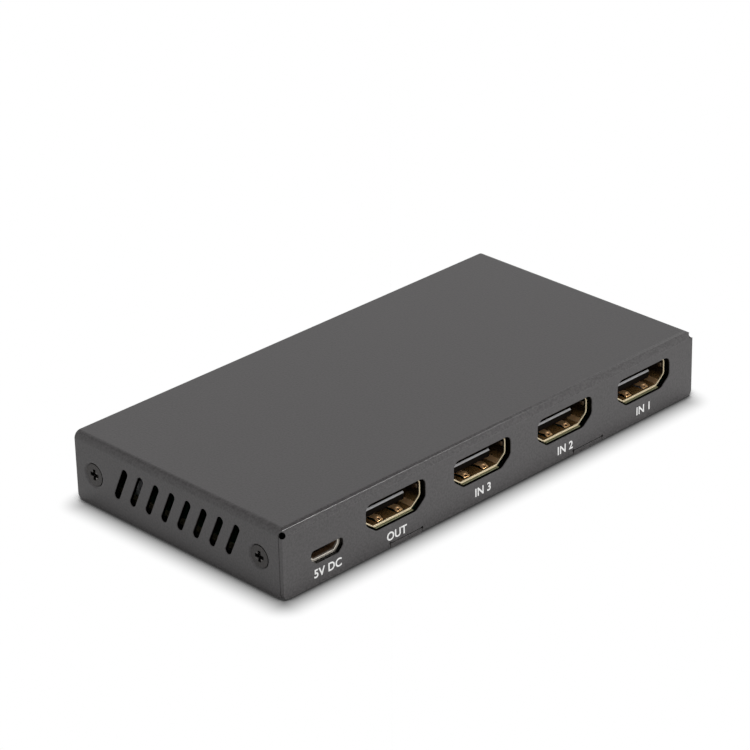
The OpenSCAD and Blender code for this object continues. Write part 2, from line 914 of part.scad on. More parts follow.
module board_standoffs() {
  color(brass)
    for (x = standoffs_x)
      for (y = standoffs_y)
        translate([x, y, 0])
          difference() {
            union() {
              cylinder(h = sheet_t, d = shank_d);
              translate([0, 0, sheet_t])
                cylinder(h = standoff_h, d = standoff_d);
            }
            translate([0, 0, -cut])
              cylinder(h = board_bottom + 2 * cut, d = board_screw_d + 2 * seat_gap);
          }
}

module board_screws() {
  color(steel)
    for (x = standoffs_x)
      for (y = standoffs_y)
        translate([x, y, board_top])
          difference() {
            union() {
              cylinder(h = board_screw_head_h, d = board_screw_head_d);
              translate([0, 0, -board_screw_len])
                cylinder(h = board_screw_len, d = board_screw_d);
            }
            translate([0, 0, board_screw_head_h])
              rotate([0, 90, 0])
                cross_recess(board_screw_head_d / 2, board_screw_head_h / 2);
          }
}

// The side view of a spring finger, tip towards +X and rising to +Y
module finger_section() {
  root = -finger_tip - finger_len;
  crest = -finger_tip - finger_ramp;
  polygon([
    [root, -shell_t], [crest, finger_rise - shell_t], [-finger_tip, -shell_t],
    [-finger_tip, 0], [crest, finger_rise], [root, 0]
  ]);
}

// A spring finger of width w, in a wall whose inner face is at z = 0
module finger(w) {
  along_x(-w / 2, w / 2)
    finger_section();
}

// The window around a spring finger of width w, left joined at the finger's root
module finger_window(w) {
  window_w = w + 2 * finger_cut;
  translate([-window_w / 2, finger_cut - finger_tip - finger_len, -2 * shell_t])
    cube([window_w, finger_len, 3 * shell_t]);
}

// Places its children on the mouth's floor, one each side of its middle
module on_floor() {
  for (x = [-finger_x, finger_x])
    translate([x, 0, 0])
      children();
}

// Places its children on the straight part of each side wall of the mouth
module on_side_walls() {
  side_z = mouth_h - mouth_r - finger_cut - side_finger_w / 2;
  for (side = [-1, 1])
    translate([side * mouth_w / 2, 0, side_z])
      rotate([0, -side * 90, 0])
        children();
}

// The side view of the guide lip under the rim, forward along +X
module lip_section() {
  polygon([
    [-2 * shell_t, -shell_t / 2], [-2 * shell_t, -shell_t - lip_t], [lip_reach, -shell_t - lip_t],
    [lip_reach, -shell_t], [0, -shell_t], [0, -shell_t / 2]
  ]);
}

module video_shell(x) {
  color(gold_plate)
    translate([x, y_rim, port_floor]) {
      difference() {
        union() {
          along_y(-shell_len, 0)
            mouth_section(video_mouth, mouth_r, shell_t);
          along_x(-mouth_floor_w / 2, mouth_floor_w / 2)
            lip_section();
        }
        along_y(-shell_len - cut, cut)
          mouth_section(video_mouth, mouth_r, 0);
        on_floor()
          finger_window(finger_w);
        on_side_walls()
          finger_window(side_finger_w);
      }
      on_floor()
        difference() {
          finger(finger_w);
          translate([0, -finger_tip - finger_ramp / 2, -cut])
            cylinder(h = 2 * cut, d = finger_hole_d);
        }
      on_side_walls()
        finger(side_finger_w);
      at_legs((mouth_w + shell_t) / 2, leg_front, leg_pitch)
        block([shell_t, leg_w, port_floor + mouth_slope_h + shell_t - board_bottom + lead_tail], 0, 0,
          board_bottom - lead_tail - port_floor);
    }
}

// Side view of a contact on the tongue at height z, facing up or down
module contact_section(z, facing, grow) {
  near = facing > 0 ? z + contact_proud - contact_t : z - contact_proud;
  far = near + contact_t;
  front = -tongue_setback - contact_setback;
  rear = -shell_len - seat_gap;
  foot = board_top - port_floor;
  polygon([
    [front + grow, near - grow], [front + grow, far + grow], [rear - contact_t - grow, far + grow],
    [rear - contact_t - grow, foot + contact_t], [rear - contact_t - foot_len, foot + contact_t],
    [rear - contact_t - foot_len, foot], [rear, foot], [rear, near - grow]
  ]);
}

// All contacts of a video socket, each side grown by grow
module contact_set(grow) {
  top = tongue_lift + tongue_t;
  half = contact_w / 2 + grow;
  for (i = [0:contact_count - 1])
    let (x = (i - (contact_count - 1) / 2) * contact_pitch)
      along_x(x - half, x + half)
        contact_section(top, 1, grow);
  for (i = [0:contact_count - 2])
    let (x = (i - (contact_count - 2) / 2) * contact_pitch)
      along_x(x - half, x + half)
        contact_section(tongue_lift, -1, grow);
}

module video_insulator(x) {
  color(black_plastic)
    translate([x, y_rim, port_floor])
      difference() {
        union() {
          along_y(-shell_len, -shell_len + block_d)
            mouth_section(video_mouth, mouth_r, -seat_gap);
          along_x(-tongue_w / 2, tongue_w / 2)
            polygon([
              [-shell_len + block_d / 2, tongue_lift], [-tongue_setback - tongue_bevel, tongue_lift],
              [-tongue_setback, tongue_lift + tongue_bevel],
              [-tongue_setback, tongue_lift + tongue_t - tongue_bevel],
              [-tongue_setback - tongue_bevel, tongue_lift + tongue_t],
              [-shell_len + block_d / 2, tongue_lift + tongue_t]
            ]);
        }
        contact_set(seat_gap);
      }
}

module video_contacts(x) {
  color(gold_plate)
    translate([x, y_rim, port_floor])
      contact_set(0);
}

module output_port_shell() video_shell(ports_x[0]);
module output_port_insulator() video_insulator(ports_x[0]);
module output_port_contacts() video_contacts(ports_x[0]);
module input_3_port_shell() video_shell(ports_x[1]);
module input_3_port_insulator() video_insulator(ports_x[1]);
module input_3_port_contacts() video_contacts(ports_x[1]);
module input_2_port_shell() video_shell(ports_x[2]);
module input_2_port_insulator() video_insulator(ports_x[2]);
module input_2_port_contacts() video_contacts(ports_x[2]);
module input_1_port_shell() video_shell(ports_x[3]);
module input_1_port_insulator() video_insulator(ports_x[3]);
module input_1_port_contacts() video_contacts(ports_x[3]);

module power_port_shell() {
  color(steel)
    translate([power_x, y_rim, power_floor]) {
      along_y(-power_len, 0)
        difference() {
          mouth_section(power_mouth, power_r, shell_t);
          mouth_section(power_mouth, power_r, 0);
        }
      along_y(-power_rim_len, 0)
        difference() {
          mouth_section(power_mouth, power_r, shell_t + power_rim);
          mouth_section(power_mouth, power_r, 0);
        }
      at_legs((power_w + shell_t) / 2, power_leg_front, power_leg_pitch)
        block([shell_t, leg_w, board_t + lead_tail + power_lift + shell_t + power_slope_h + shell_t], 0, 0,
          -shell_t - power_lift - board_t - lead_tail);
    }
}

// Contacts of the power socket, under its tongue, each side grown by grow
module power_contact_set(grow) {
  front = -power_setback - contact_setback;
  rear = -power_len - seat_gap;
  foot = -shell_t - power_lift;
  near = power_tongue_lift - contact_proud;
  far = near + contact_t;
  half = power_contact_w / 2 + grow;
  for (i = [0:power_contacts - 1])
    let (x = (i - (power_contacts - 1) / 2) * power_pitch)
      along_x(x - half, x + half)
        polygon([
          [front + grow, near - grow], [front + grow, far + grow], [rear - contact_t - grow, far + grow],
          [rear - contact_t - grow, foot + contact_t], [rear - contact_t - foot_len, foot + contact_t],
          [rear - contact_t - foot_len, foot], [rear, foot], [rear, near - grow]
        ]);
}

module power_port_insulator() {
  color(black_plastic)
    translate([power_x, y_rim, power_floor])
      difference() {
        union() {
          along_y(-power_len, -power_len + power_block_d)
            mouth_section(power_mouth, power_r, -seat_gap);
          translate([-power_tongue_w / 2, -power_len + power_block_d / 2, power_tongue_lift])
            cube([power_tongue_w, power_len - power_setback - power_block_d / 2, power_tongue_t]);
        }
        power_contact_set(seat_gap);
      }
}

module power_port_contacts() {
  color(gold_plate)
    translate([power_x, y_rim, power_floor])
      power_contact_set(0);
}

// A row of leads along X on both sides of a chip, bent down to the board
module chip_leads(w, d) {
  lead_t = contact_t;
  lead_w = chip_pitch / 2;
  count = floor((w - chip_pitch) / chip_pitch);
  for (i = [0:count])
    for (side = [0, 180])
      rotate(side)
        along_x((i - count / 2) * chip_pitch - lead_w / 2, (i - count / 2) * chip_pitch + lead_w / 2)
          polygon([
            [d / 2 - lead_t, chip_h / 2], [d / 2 + chip_lead_len / 2, chip_h / 2],
            [d / 2 + chip_lead_len / 2, lead_t], [d / 2 + chip_lead_len, lead_t],
            [d / 2 + chip_lead_len, 0], [d / 2 + chip_lead_len / 2 - lead_t, 0],
            [d / 2 + chip_lead_len / 2 - lead_t, chip_h / 2 - lead_t], [d / 2 - lead_t, chip_h / 2 - lead_t]
          ]);
}

module switch_chip() {
  color(black_plastic)
    translate([chip_x, chip_y, board_top]) {
      block([chip_w, chip_w, chip_h - contact_t], 0, 0, contact_t);
      for (turn = [0, 90])
        rotate(turn)
          chip_leads(chip_w, chip_w);
    }
}

module control_chip() {
  x = chip_x + chip_reach + part_gap + control_w / 2;
  color(black_plastic)
    translate([x, chip_y, board_top]) {
      block([control_w, control_w, chip_h - contact_t], 0, 0, contact_t);
      chip_leads(control_w, control_w);
    }
}

module regulator_chip() {
  y = y_rim - power_len - foot_len - part_gap - regulator_size.y / 2;
  color(black_plastic)
    block(regulator_size, power_x - standoff_end, y, board_top);
}

module power_inductor() {
  y = y_rim - power_len - foot_len - 2 * part_gap - regulator_size.y - inductor_size.y / 2;
  color(black_steel)
    block(inductor_size, power_x - standoff_end, y, board_top);
}

module clock_crystal() {
  x = chip_x - chip_reach - part_gap - crystal_size.x / 2;
  color(steel)
    block(crystal_size, x, chip_y, board_top);
}

// Places its children on the board behind each video socket, row_y past its contacts' feet
module behind_ports(row_y) {
  for (x = ports_x)
    translate([x, y_rim - shell_len - foot_len - contact_t - row_y, board_top])
      children();
}

module protection_arrays() {
  color(black_plastic)
    behind_ports(part_gap / 2 + array_size.y)
      block(array_size, 0, 0, 0);
}

module resistors() {
  color(black_steel)
    behind_ports(part_gap + 2 * array_size.y)
      for (i = [0:resistor_count - 1])
        block(resistor_size, (i - (resistor_count - 1) / 2) * row_pitch, 0, 0);
}

module capacitors() {
  color(brass)
    for (i = [0:capacitor_count - 1])
      block(capacitor_size, chip_x + (i - (capacitor_count - 1) / 2) * row_pitch,
        chip_y - chip_reach - part_gap, board_top);
}

module status_lights() {
  color("white")
    for (x = leds_x)
      block(led_size, x, board_front + led_size.y / 2, board_top);
}

top_cover();
base_pan();
case_screws();
front_panel();
panel_tape();
button_cap();
button_stem();
push_switch_body();
push_switch_plunger();
push_switch_terminals();
main_board();
board_standoffs();
board_screws();
output_port_shell();
output_port_insulator();
output_port_contacts();
input_3_port_shell();
input_3_port_insulator();
input_3_port_contacts();
input_2_port_shell();
input_2_port_insulator();
input_2_port_contacts();
input_1_port_shell();
input_1_port_insulator();
input_1_port_contacts();
power_port_shell();
power_port_insulator();
power_port_contacts();
switch_chip();
control_chip();
regulator_chip();
power_inductor();
clock_crystal();
protection_arrays();
capacitors();
resistors();
status_lights();
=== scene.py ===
"""Looks of the video switch box: finishes, eased edges, printed marks, studio and camera."""

import json
import math

import bpy
from mathutils import Matrix, Vector

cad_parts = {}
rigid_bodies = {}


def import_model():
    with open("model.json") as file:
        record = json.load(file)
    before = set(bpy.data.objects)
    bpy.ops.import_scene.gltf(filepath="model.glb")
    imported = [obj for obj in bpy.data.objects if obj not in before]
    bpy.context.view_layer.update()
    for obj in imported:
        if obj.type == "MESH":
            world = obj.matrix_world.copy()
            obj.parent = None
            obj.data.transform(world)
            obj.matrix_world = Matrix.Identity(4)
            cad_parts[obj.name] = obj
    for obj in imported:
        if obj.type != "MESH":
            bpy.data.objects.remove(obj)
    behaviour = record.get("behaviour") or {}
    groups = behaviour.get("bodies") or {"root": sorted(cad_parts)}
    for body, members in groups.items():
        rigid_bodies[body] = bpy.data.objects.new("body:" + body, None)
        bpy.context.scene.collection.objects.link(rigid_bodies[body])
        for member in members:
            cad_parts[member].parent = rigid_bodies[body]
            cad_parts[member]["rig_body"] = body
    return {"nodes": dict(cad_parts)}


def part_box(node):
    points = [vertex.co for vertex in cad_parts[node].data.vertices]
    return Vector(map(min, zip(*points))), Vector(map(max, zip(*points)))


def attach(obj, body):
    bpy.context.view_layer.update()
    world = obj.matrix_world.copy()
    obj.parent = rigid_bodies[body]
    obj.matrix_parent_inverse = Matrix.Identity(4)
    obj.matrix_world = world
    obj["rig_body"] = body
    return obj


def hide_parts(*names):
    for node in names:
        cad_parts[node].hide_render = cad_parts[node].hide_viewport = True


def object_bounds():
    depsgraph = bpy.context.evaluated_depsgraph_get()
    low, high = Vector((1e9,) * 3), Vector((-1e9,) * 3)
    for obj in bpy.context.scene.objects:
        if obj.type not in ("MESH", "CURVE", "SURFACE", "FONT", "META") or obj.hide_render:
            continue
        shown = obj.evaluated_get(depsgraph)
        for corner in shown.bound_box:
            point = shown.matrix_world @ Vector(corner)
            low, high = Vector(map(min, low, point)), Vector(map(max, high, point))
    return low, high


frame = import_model()
nodes = frame["nodes"]
cad_low, cad_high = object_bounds()

MM = 0.001
VIDEO_PORTS = ("output", "input_3", "input_2", "input_1")

# The record's slot of each CAD node, kept before its material is replaced
SLOTS = {name: node.material_slots[0].material.name for name, node in nodes.items()}

# Camera, fitted to the case's corners in the photo
CAMERA_AZIMUTH = math.radians(135.79)
CAMERA_ELEVATION = math.radians(26.29)
CAMERA_ROLL = math.radians(-1.367)
CAMERA_DISTANCE = 634.8 * MM
CAMERA_LENS = 152.86
AIM_RIGHT = -2.909 * MM
AIM_UP = 7.402 * MM
CAMERA_CLIP = (0.01, 20.0)

# Studio sky: the level and lean of its soft light. In reflections it is white up to the backdrop's top,
# dimmer above that, and a little dimmer towards the front
SKY_LEVEL = 0.76
SKY_LEAN = (-0.6, 0.6)
UPPER_SKY = 0.20
BACKDROP_TOP = (0.60, 0.72)
FRONT_DIM = 0.20
FRONT_BAND = (-0.05, 0.55)

# Key lamp, and the direction towards it
KEY_STRENGTH = 0.66
KEY_SPREAD = math.radians(5)
KEY_TOWARDS = Vector((-0.48, 0.25, 0.82))

FLOOR_SIZE = 8.0
FLOOR_WHITE = 0.95

# Contact shadow, painted into the floor's glow from the distance to the case's footprint and from ambient
# occlusion: share of light lost at the case's foot, its reach, the share of that by which it starts under
# the case, its draw towards the rear power corner, and the open shares of sky where it starts and ends
CONTACT_SHADE = 0.96
CONTACT_REACH = 6.6 * MM
CONTACT_INSET = 0.35
CONTACT_DRAW = 3.5 * MM
CONTACT_OPEN = (0.47, 0.98)
CONTACT_SAMPLES = 16

# Painted shade on the floor beside the end with the power socket, seen in reflections alone: share of light
# that it takes from reflections, and the distance over which it sets in
SIDE_REFLECTION_SHADE = 0.22
SIDE_REFLECTION_FADE = 8.0 * MM

# Edges: points within WELD are one, faces within FLAT_ANGLE are one, and edges past SHARP_ANGLE are rounded
WELD = 0.02 * MM
FLAT_ANGLE = math.radians(0.4)
SHARP_ANGLE = math.radians(38)
ROUND_SEGMENTS = 3
EDGE_ROUNDS = {
    "top_cover": 0.14 * MM,
    "base_pan": 0.04 * MM,
    "case_screws": 0.05 * MM,
    "front_panel": 0.15 * MM,
    "button_cap": 0.04 * MM,
    "power_port_shell": 0.12 * MM,
}
VIDEO_PORT_ROUND = 0.11 * MM

# The band along the cover's foot and the room round each corner relief that stay sharp
FOOT_BAND = 1.4 * MM
RELIEF_ROOM = 1.8 * MM

# Printed marks. CAP_SHARE is the share of the font's size that a capital takes
MARKS = {"output": "OUT", "input_3": "IN 3", "input_2": "IN 2", "input_1": "IN 1", "power": "5V DC"}
BUTTON_MARK = "1 2 3"
INK_THICKNESS = 0.02 * MM
INK_SPREAD = 0.05 * MM
MARK_CAP_HEIGHT = 1.80 * MM
MARK_BASELINE = 1.75 * MM
BUTTON_CAP_HEIGHT = 1.50 * MM
BUTTON_MARK_BASELINE = 1.90 * MM
CAP_SHARE = 0.729
LETTER_SPACING = 1.04


class Signal:
    """A shader socket. An operator on it adds a Math node to its tree."""

    def __init__(self, wiring, socket):
        self.wiring = wiring
        self.socket = socket

    def output(self, name):
        """Another output of the same node."""
        return Signal(self.wiring, self.socket.node.outputs[name])

    def __add__(self, other):
        return self.wiring.math("ADD", self, other)

    def __radd__(self, other):
        return self.wiring.math("ADD", other, self)

    def __sub__(self, other):
        return self.wiring.math("SUBTRACT", self, other)

    def __rsub__(self, other):
        return self.wiring.math("SUBTRACT", other, self)

    def __mul__(self, other):
        return self.wiring.math("MULTIPLY", self, other)

    def __rmul__(self, other):
        return self.wiring.math("MULTIPLY", other, self)

    def __pow__(self, other):
        return self.wiring.math("POWER", self, other)

    def __mod__(self, other):
        return self.wiring.math("FLOORED_MODULO", self, other)

    def __abs__(self):
        return self.wiring.math("ABSOLUTE", self)

    def __gt__(self, other):
        return self.wiring.math("GREATER_THAN", self, other)

    def __lt__(self, other):
        return self.wiring.math("LESS_THAN", self, other)


def find_socket(sockets, key):
    """A socket by its place or by its name, among those in use."""
    if isinstance(key, int):
        return sockets[key]
    return next(socket for socket in sockets if socket.enabled and socket.name == key)


class Wiring:
    """A node tree in the making."""

    def __init__(self, tree):
        self.tree = tree

    def feed(self, socket, value):
        """Links a signal to a socket, or sets the socket's own value."""
        if isinstance(value, Signal):
            self.tree.links.new(value.socket, socket)
        elif socket.type == "RGBA":
            socket.default_value = (*value, 1.0)
        else:
            socket.default_value = value

    def node(self, kind, settings=None, sockets=None, output=0):
        """Adds a node: its settings first, then the values or links of its sockets."""
        made = self.tree.nodes.new("ShaderNode" + kind)
        for name, value in (settings or {}).items():
            setattr(made, name, value)
        for key, value in (sockets or {}).items():
            self.feed(find_socket(made.inputs, key), value)
        return Signal(self, find_socket(made.outputs, output))

    def math(self, operation, first, second=0.0):
        return self.node("Math", {"operation": operation}, {0: first, 1: second})

    def mix(self, factor, first, second):
        """A colour between two colours."""
        sockets = {"Factor": factor, "A": first, "B": second}
        return self.node("Mix", {"data_type": "RGBA"}, sockets, "Result")

    def band(self, value, start, end):
        """Rises smoothly from 0 at start to 1 at end."""
        sockets = {"Value": value, "From Min": start, "From Max": end}
        return self.node("MapRange", {"interpolation_type": "SMOOTHSTEP"}, sockets)


class Finish(Wiring):
    """A material in the making. Places on a piece are in millimetres from a centre in metres."""

    def __init__(self, name, constants=None, centre=(0, 0, 0)):
        self.material = bpy.data.materials.new(name)
        self.material.use_nodes = True
        super().__init__(self.material.node_tree)
        self.shader = self.tree.nodes["Principled BSDF"]
        self.surface(constants or {})
        coordinates = self.node("TexCoord", output="Object")
        self.place = self.node("Mapping", sockets={
            "Vector": coordinates,
            "Location": -Vector(centre) / MM,
            "Scale": (1 / MM, 1 / MM, 1 / MM),
        })
        self.x = self.node("SeparateXYZ", sockets={"Vector": self.place})
        self.y = self.x.output("Y")
        self.z = self.x.output("Z")

    def surface(self, sockets):
        """Sets or links sockets of the Principled shader."""
        for key, value in sockets.items():
            self.feed(self.shader.inputs[key], value)

    def noise(self, size, detail=2.0, stretch=(1, 1, 1)):
        """Noise with features of about that size in millimetres, longer where stretch is larger."""
        squeezed = self.node("VectorMath", {"operation": "DIVIDE"}, {0: self.place, 1: stretch})
        return self.node("TexNoise", sockets={"Vector": squeezed, "Scale": 1 / size, "Detail": detail})

    def cells(self, size):
        """Distance from the middle of the nearest cell, for specks and pits."""
        return self.node("TexVoronoi", sockets={"Vector": self.place, "Scale": 1 / size}, output="Distance")

    def radius(self, first, second):
        """Distance from the axis that both coordinates cross."""
        return (first * first + second * second) ** 0.5

    def rings(self, radius, pitch):
        """A wave along the radius, from 0 to 1."""
        return self.math("SINE", radius * (2 * math.pi / pitch)) * 0.5 + 0.5

    def bump(self, height, depth):
        """A relief whose height is depth millimetres where the signal is 1."""
        return self.node("Bump", sockets={"Height": height, "Distance": depth * MM, "Strength": 1.0})


def middle(node):
    """The middle of a CAD node's box."""
    low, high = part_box(node)
    return (low + high) / 2


def screw_distance(finish):
    """Distance from the axis of the nearest case screw."""
    low, high = (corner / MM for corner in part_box("case_screws"))
    height = finish.z - (low.z + high.z) / 2
    head_radius = (high.z - low.z) / 2
    rows = (low.y + head_radius, high.y - head_radius)
    front, rear = (finish.radius(finish.y - row, height) for row in rows)
    return finish.math("MINIMUM", front, rear)


def cut_walls(finish):
    """1 on the walls of the cover's slots and cut-outs, inside the sheet's thickness, where the coat is
    painted black as shade.
    """
    low, high = (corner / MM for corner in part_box("top_cover"))
    skin = 0.16
    sheet = 0.84
    fold = 1.7
    screw_room = 3.0
    below_fold = finish.z < high.z - fold
    from_end = high.x - abs(finish.x)
    from_rear = high.y - finish.y
    off_screws = screw_distance(finish) > screw_room
    in_end = (from_end > skin) * (from_end < sheet) * (from_rear > fold) * off_screws
    in_rear = (from_rear > skin) * (from_rear < sheet) * (from_end > fold)
    inside_edge = (finish.y > low.y + fold) * (finish.z > low.z + fold)
    return finish.math("MAXIMUM", in_end, in_rear) * below_fold * inside_edge


def powder_coat():
    """Fine grey coat, smoother along the rear fold, with painted shade: black and barely reflecting on the
    walls of cut-outs.
    """
    finish = Finish("charcoal_powder_coat", {"IOR": 1.5})
    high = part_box("top_cover")[1] / MM
    grain = finish.band(finish.noise(0.42, detail=3.0), 0.28, 0.72)
    drift = finish.noise(18.0)
    pits = 1 - finish.band(finish.cells(0.5), 0.05, 0.28)
    upper = finish.band(finish.z, high.z - 1.9, high.z - 1.2)
    fold = upper * finish.band(finish.y, high.y - 1.5, high.y - 1.1)
    texture = 1 - 0.85 * fold
    wall_shade = cut_walls(finish)
    coat = finish.mix(grain * 0.75 + drift * 0.25, (0.0395, 0.0370, 0.0375), (0.0775, 0.0730, 0.0738))
    finish.surface({
        # Painted shade: the walls of cut-outs are black, and metallic so that they hardly reflect
        "Base Color": finish.mix(wall_shade, coat, (0.002, 0.002, 0.002)),
        "Metallic": wall_shade,
        "Roughness": 0.34 + 0.10 * grain * texture + 0.04 * drift - 0.14 * fold,
        "Normal": finish.bump((grain + 0.2 * pits) * texture, 0.010),
    })
    return finish.material


def white_ink():
    finish = Finish("white_screen_print", {"IOR": 1.45})
    grain = finish.noise(0.12)
    thin = finish.band(finish.noise(0.35), 0.58, 0.80)
    finish.surface({
        "Base Color": finish.mix(thin, (0.80, 0.80, 0.79), (0.62, 0.62, 0.62)),
        "Roughness": 0.50 + 0.12 * grain,
        "Normal": finish.bump(grain, 0.004),
    })
    return finish.material


def gloss_panel():
    finish = Finish("gloss_black_acrylic", {
        "IOR": 1.49,
        "Specular IOR Level": 0.12,
        "Coat Roughness": 0.03,
    })
    smear = finish.noise(9.0, detail=4.0, stretch=(2.5, 1, 1))
    dust = 1 - finish.band(finish.cells(1.3), 0.02, 0.06)
    finish.surface({
        "Base Color": finish.mix(dust * 0.35, (0.0035, 0.0035, 0.0042), (0.05, 0.05, 0.05)),
        "Roughness": 0.045 + 0.05 * smear + 0.2 * dust,
        "Coat Weight": 0.12 - 0.1 * smear,
        "Normal": finish.bump(finish.noise(14.0), 0.006),
    })
    return finish.material


def button_metal():
    """Fine rings on a darkened face with two light fans painted on as reflections, and a bright chamfer
    round it.
    """
    finish = Finish("spun_button_metal", {"Metallic": 1.0}, middle("button_cap"))
    radius = finish.radius(finish.x, finish.z)
    chamfer = finish.band(radius, 2.96, 3.06)
    spin = finish.rings(radius, 0.085)
    wobble = finish.noise(0.5, detail=3.0)
    turn = finish.math("ARCTAN2", finish.z, finish.x)
    # Painted reflection: two light fans by angle round the middle, on a face darkened as painted shade
    fan_highlight = finish.band(finish.math("COSINE", 2 * turn + 1.2) + 0.25 * wobble, 0.1, 1.1)
    face_with_painted_fans = finish.mix(fan_highlight * finish.band(radius, 0.1, 0.6), (0.13, 0.125, 0.12), (0.50, 0.49, 0.47))
    finish.surface({
        "Base Color": finish.mix(chamfer, face_with_painted_fans, (0.90, 0.90, 0.91)),
        "Roughness": 0.24 - 0.10 * chamfer + 0.06 * wobble,
        "Normal": finish.bump(spin * (1 - chamfer) + 0.15 * wobble, 0.012),
    })
    return finish.material


def black_screw():
    finish = Finish("black_nickel_screw", {"Metallic": 1.0})
    radius = screw_distance(finish)
    turned = finish.rings(radius, 0.16)
    rub = finish.band(finish.noise(0.30, detail=4.0), 0.50, 0.68)
    recess = 1 - finish.band(radius, 0.7, 1.2)
    bare = rub * (0.12 + 0.88 * recess)
    finish.surface({
        "Base Color": finish.mix(bare, (0.056, 0.053, 0.052), (0.34, 0.32, 0.30)),
        "Roughness": 0.34 + 0.14 * rub,
        "Normal": finish.bump(turned + rub, 0.004),
    })
    return finish.material


def port_shell():
    """Gold flash, cream on the rim, with painted shade: dark olive on the guide lip and darker brown deeper
    in and towards the top inside, while the spring fingers keep a bright gold as a painted highlight.
    """
    finish = Finish("gold_flashed_shell")
    rim = 28.7
    floor = 5.7
    behind = rim - finish.y
    lip = finish.band(-1 * behind, 0.02, 0.06)
    inside = finish.band(behind, 0.14, 0.34)
    deep = finish.band(behind, 1.0, 5.0)
    over_floor = finish.z - floor
    finger = finish.band(over_floor, 0.03, 0.10) * (1 - finish.band(over_floor, 0.70, 0.80))
    draw = finish.noise(0.25, stretch=(1, 14, 1))
    stain = finish.noise(1.8)
    rim_gold = finish.mix(stain * 0.5, (0.84, 0.72, 0.50), (0.78, 0.64, 0.40))
    # Painted shade: the guide lip in front of the rim is a dark olive
    front = finish.mix(lip, rim_gold, (0.17, 0.17, 0.095))
    # Painted shade: darker brown deeper in and towards the top of the mouth
    shade = finish.math("MAXIMUM", deep, finish.band(finish.z, 6.4, 7.6))
    depth_shade_colour = finish.mix(shade, (0.40, 0.23, 0.085), (0.050, 0.032, 0.018))
    wall = finish.mix(inside, front, depth_shade_colour)
    finish.surface({
        # Painted highlight: the spring fingers inside keep a bright orange gold, apart from the painted
        # shade
        "Base Color": finish.mix(finger * inside, wall, (0.98, 0.62, 0.32)),
        "Metallic": 0.62 + 0.12 * inside,
        "Roughness": 0.30 - 0.10 * inside + 0.05 * draw + 0.10 * finger,
        "Normal": finish.bump(draw, 0.0007),
    })
    return finish.material


def power_shell():
    finish = Finish("tinned_power_shell")
    draw = finish.noise(0.2, stretch=(1, 12, 1))
    stain = finish.noise(1.1)
    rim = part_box("power_port_shell")[1].y / MM
    # Painted shade: darker brown inside the mouth
    inside = finish.band(rim - finish.y, 0.12, 0.7)
    plating = finish.mix(stain * 0.5, (0.94, 0.88, 0.78), (0.86, 0.79, 0.68))
    finish.surface({
        "Base Color": finish.mix(inside, plating, (0.26, 0.15, 0.08)),
        "Metallic": 0.62 + 0.10 * inside,
        "Roughness": 0.28 + 0.06 * draw,
        "Normal": finish.bump(draw, 0.0007),
    })
    return finish.material


def port_plastic():
    """Black plastic with a light line painted along the front crest of each video socket's tongue as a
    highlight.
    """
    finish = Finish("black_socket_plastic", {"IOR": 1.4, "Specular IOR Level": 0.05})
    tongue_top = 8.45
    from_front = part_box("output_port_insulator")[1].y / MM - finish.y
    upper = finish.band(finish.z, tongue_top - 0.42, tongue_top - 0.34)
    crest_highlight = upper * (1 - finish.band(from_front, 0.20, 0.26))
    grain = finish.noise(0.14, detail=3.0)
    finish.surface({
        # Painted highlight: light grey along the front crest of the tongue
        "Base Color": finish.mix(crest_highlight, (0.005, 0.0035, 0.0025), (0.46, 0.46, 0.47)),
        "Roughness": 0.60 + 0.14 * grain,
        "Normal": finish.bump(grain, 0.003),
    })
    return finish.material


def contact_gold():
    finish = Finish("contact_gold", {"Metallic": 1.0})
    wipe = finish.noise(0.12, detail=3.0, stretch=(1, 10, 1))
    finish.surface({
        "Base Color": finish.mix(wipe, (0.98, 0.74, 0.36), (0.84, 0.58, 0.24)),
        "Roughness": 0.16 + 0.14 * wipe,
        "Normal": finish.bump(wipe, 0.003),
    })
    return finish.material


def turned_metal(name, light, dark, roughness):
    """Bright metal with fine turning marks, for small fasteners and spacers."""
    finish = Finish(name, {"Metallic": 1.0})
    marks = finish.noise(0.25, detail=3.0, stretch=(6, 6, 1))
    stain = finish.noise(1.5)
    finish.surface({
        "Base Color": finish.mix(0.7 * stain + 0.3 * marks, light, dark),
        "Roughness": roughness + 0.12 * marks,
        "Normal": finish.bump(marks, 0.005),
    })
    return finish.material


def moulded_plastic(name, light, dark, roughness):
    """Moulded plastic with a fine eroded texture."""
    finish = Finish(name, {"IOR": 1.5})
    grain = finish.noise(0.16, detail=3.0)
    flow = finish.noise(3.0)
    finish.surface({
        "Base Color": finish.mix(0.5 * grain + 0.5 * flow, dark, light),
        "Roughness": roughness + 0.14 * grain,
        "Normal": finish.bump(grain, 0.006),
    })
    return finish.material


def foam_tape():
    finish = Finish("black_foam_tape", {"IOR": 1.4})
    pores = finish.band(finish.cells(0.22), 0.05, 0.35)
    finish.surface({
        "Base Color": finish.mix(pores, (0.008, 0.008, 0.008), (0.03, 0.03, 0.03)),
        "Roughness": 0.75 + 0.15 * pores,
        "Normal": finish.bump(pores, 0.03),
    })
    return finish.material


def circuit_board():
    finish = Finish("green_circuit_board", {"IOR": 1.5})
    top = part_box("main_board")[1].z / MM
    lanes = finish.noise(2.4, detail=1.0, stretch=(1, 3, 1)) * 9.0
    copper = finish.band(abs(lanes % 1.0 - 0.5), 0.22, 0.27)
    weave = finish.rings(finish.x, 0.5) * finish.rings(finish.y, 0.5)
    over_bottom = finish.band(finish.z, top - 1.58, top - 1.55)
    side = over_bottom * (1 - finish.band(finish.z, top - 0.05, top - 0.02))
    mask = finish.mix(copper, (0.005, 0.026, 0.014), (0.010, 0.048, 0.024))
    finish.surface({
        "Base Color": finish.mix(side, mask, (0.10, 0.09, 0.05)),
        "Roughness": 0.28 + 0.10 * weave + 0.35 * side,
        "Normal": finish.bump(copper + 0.2 * weave, 0.018),
    })
    return finish.material


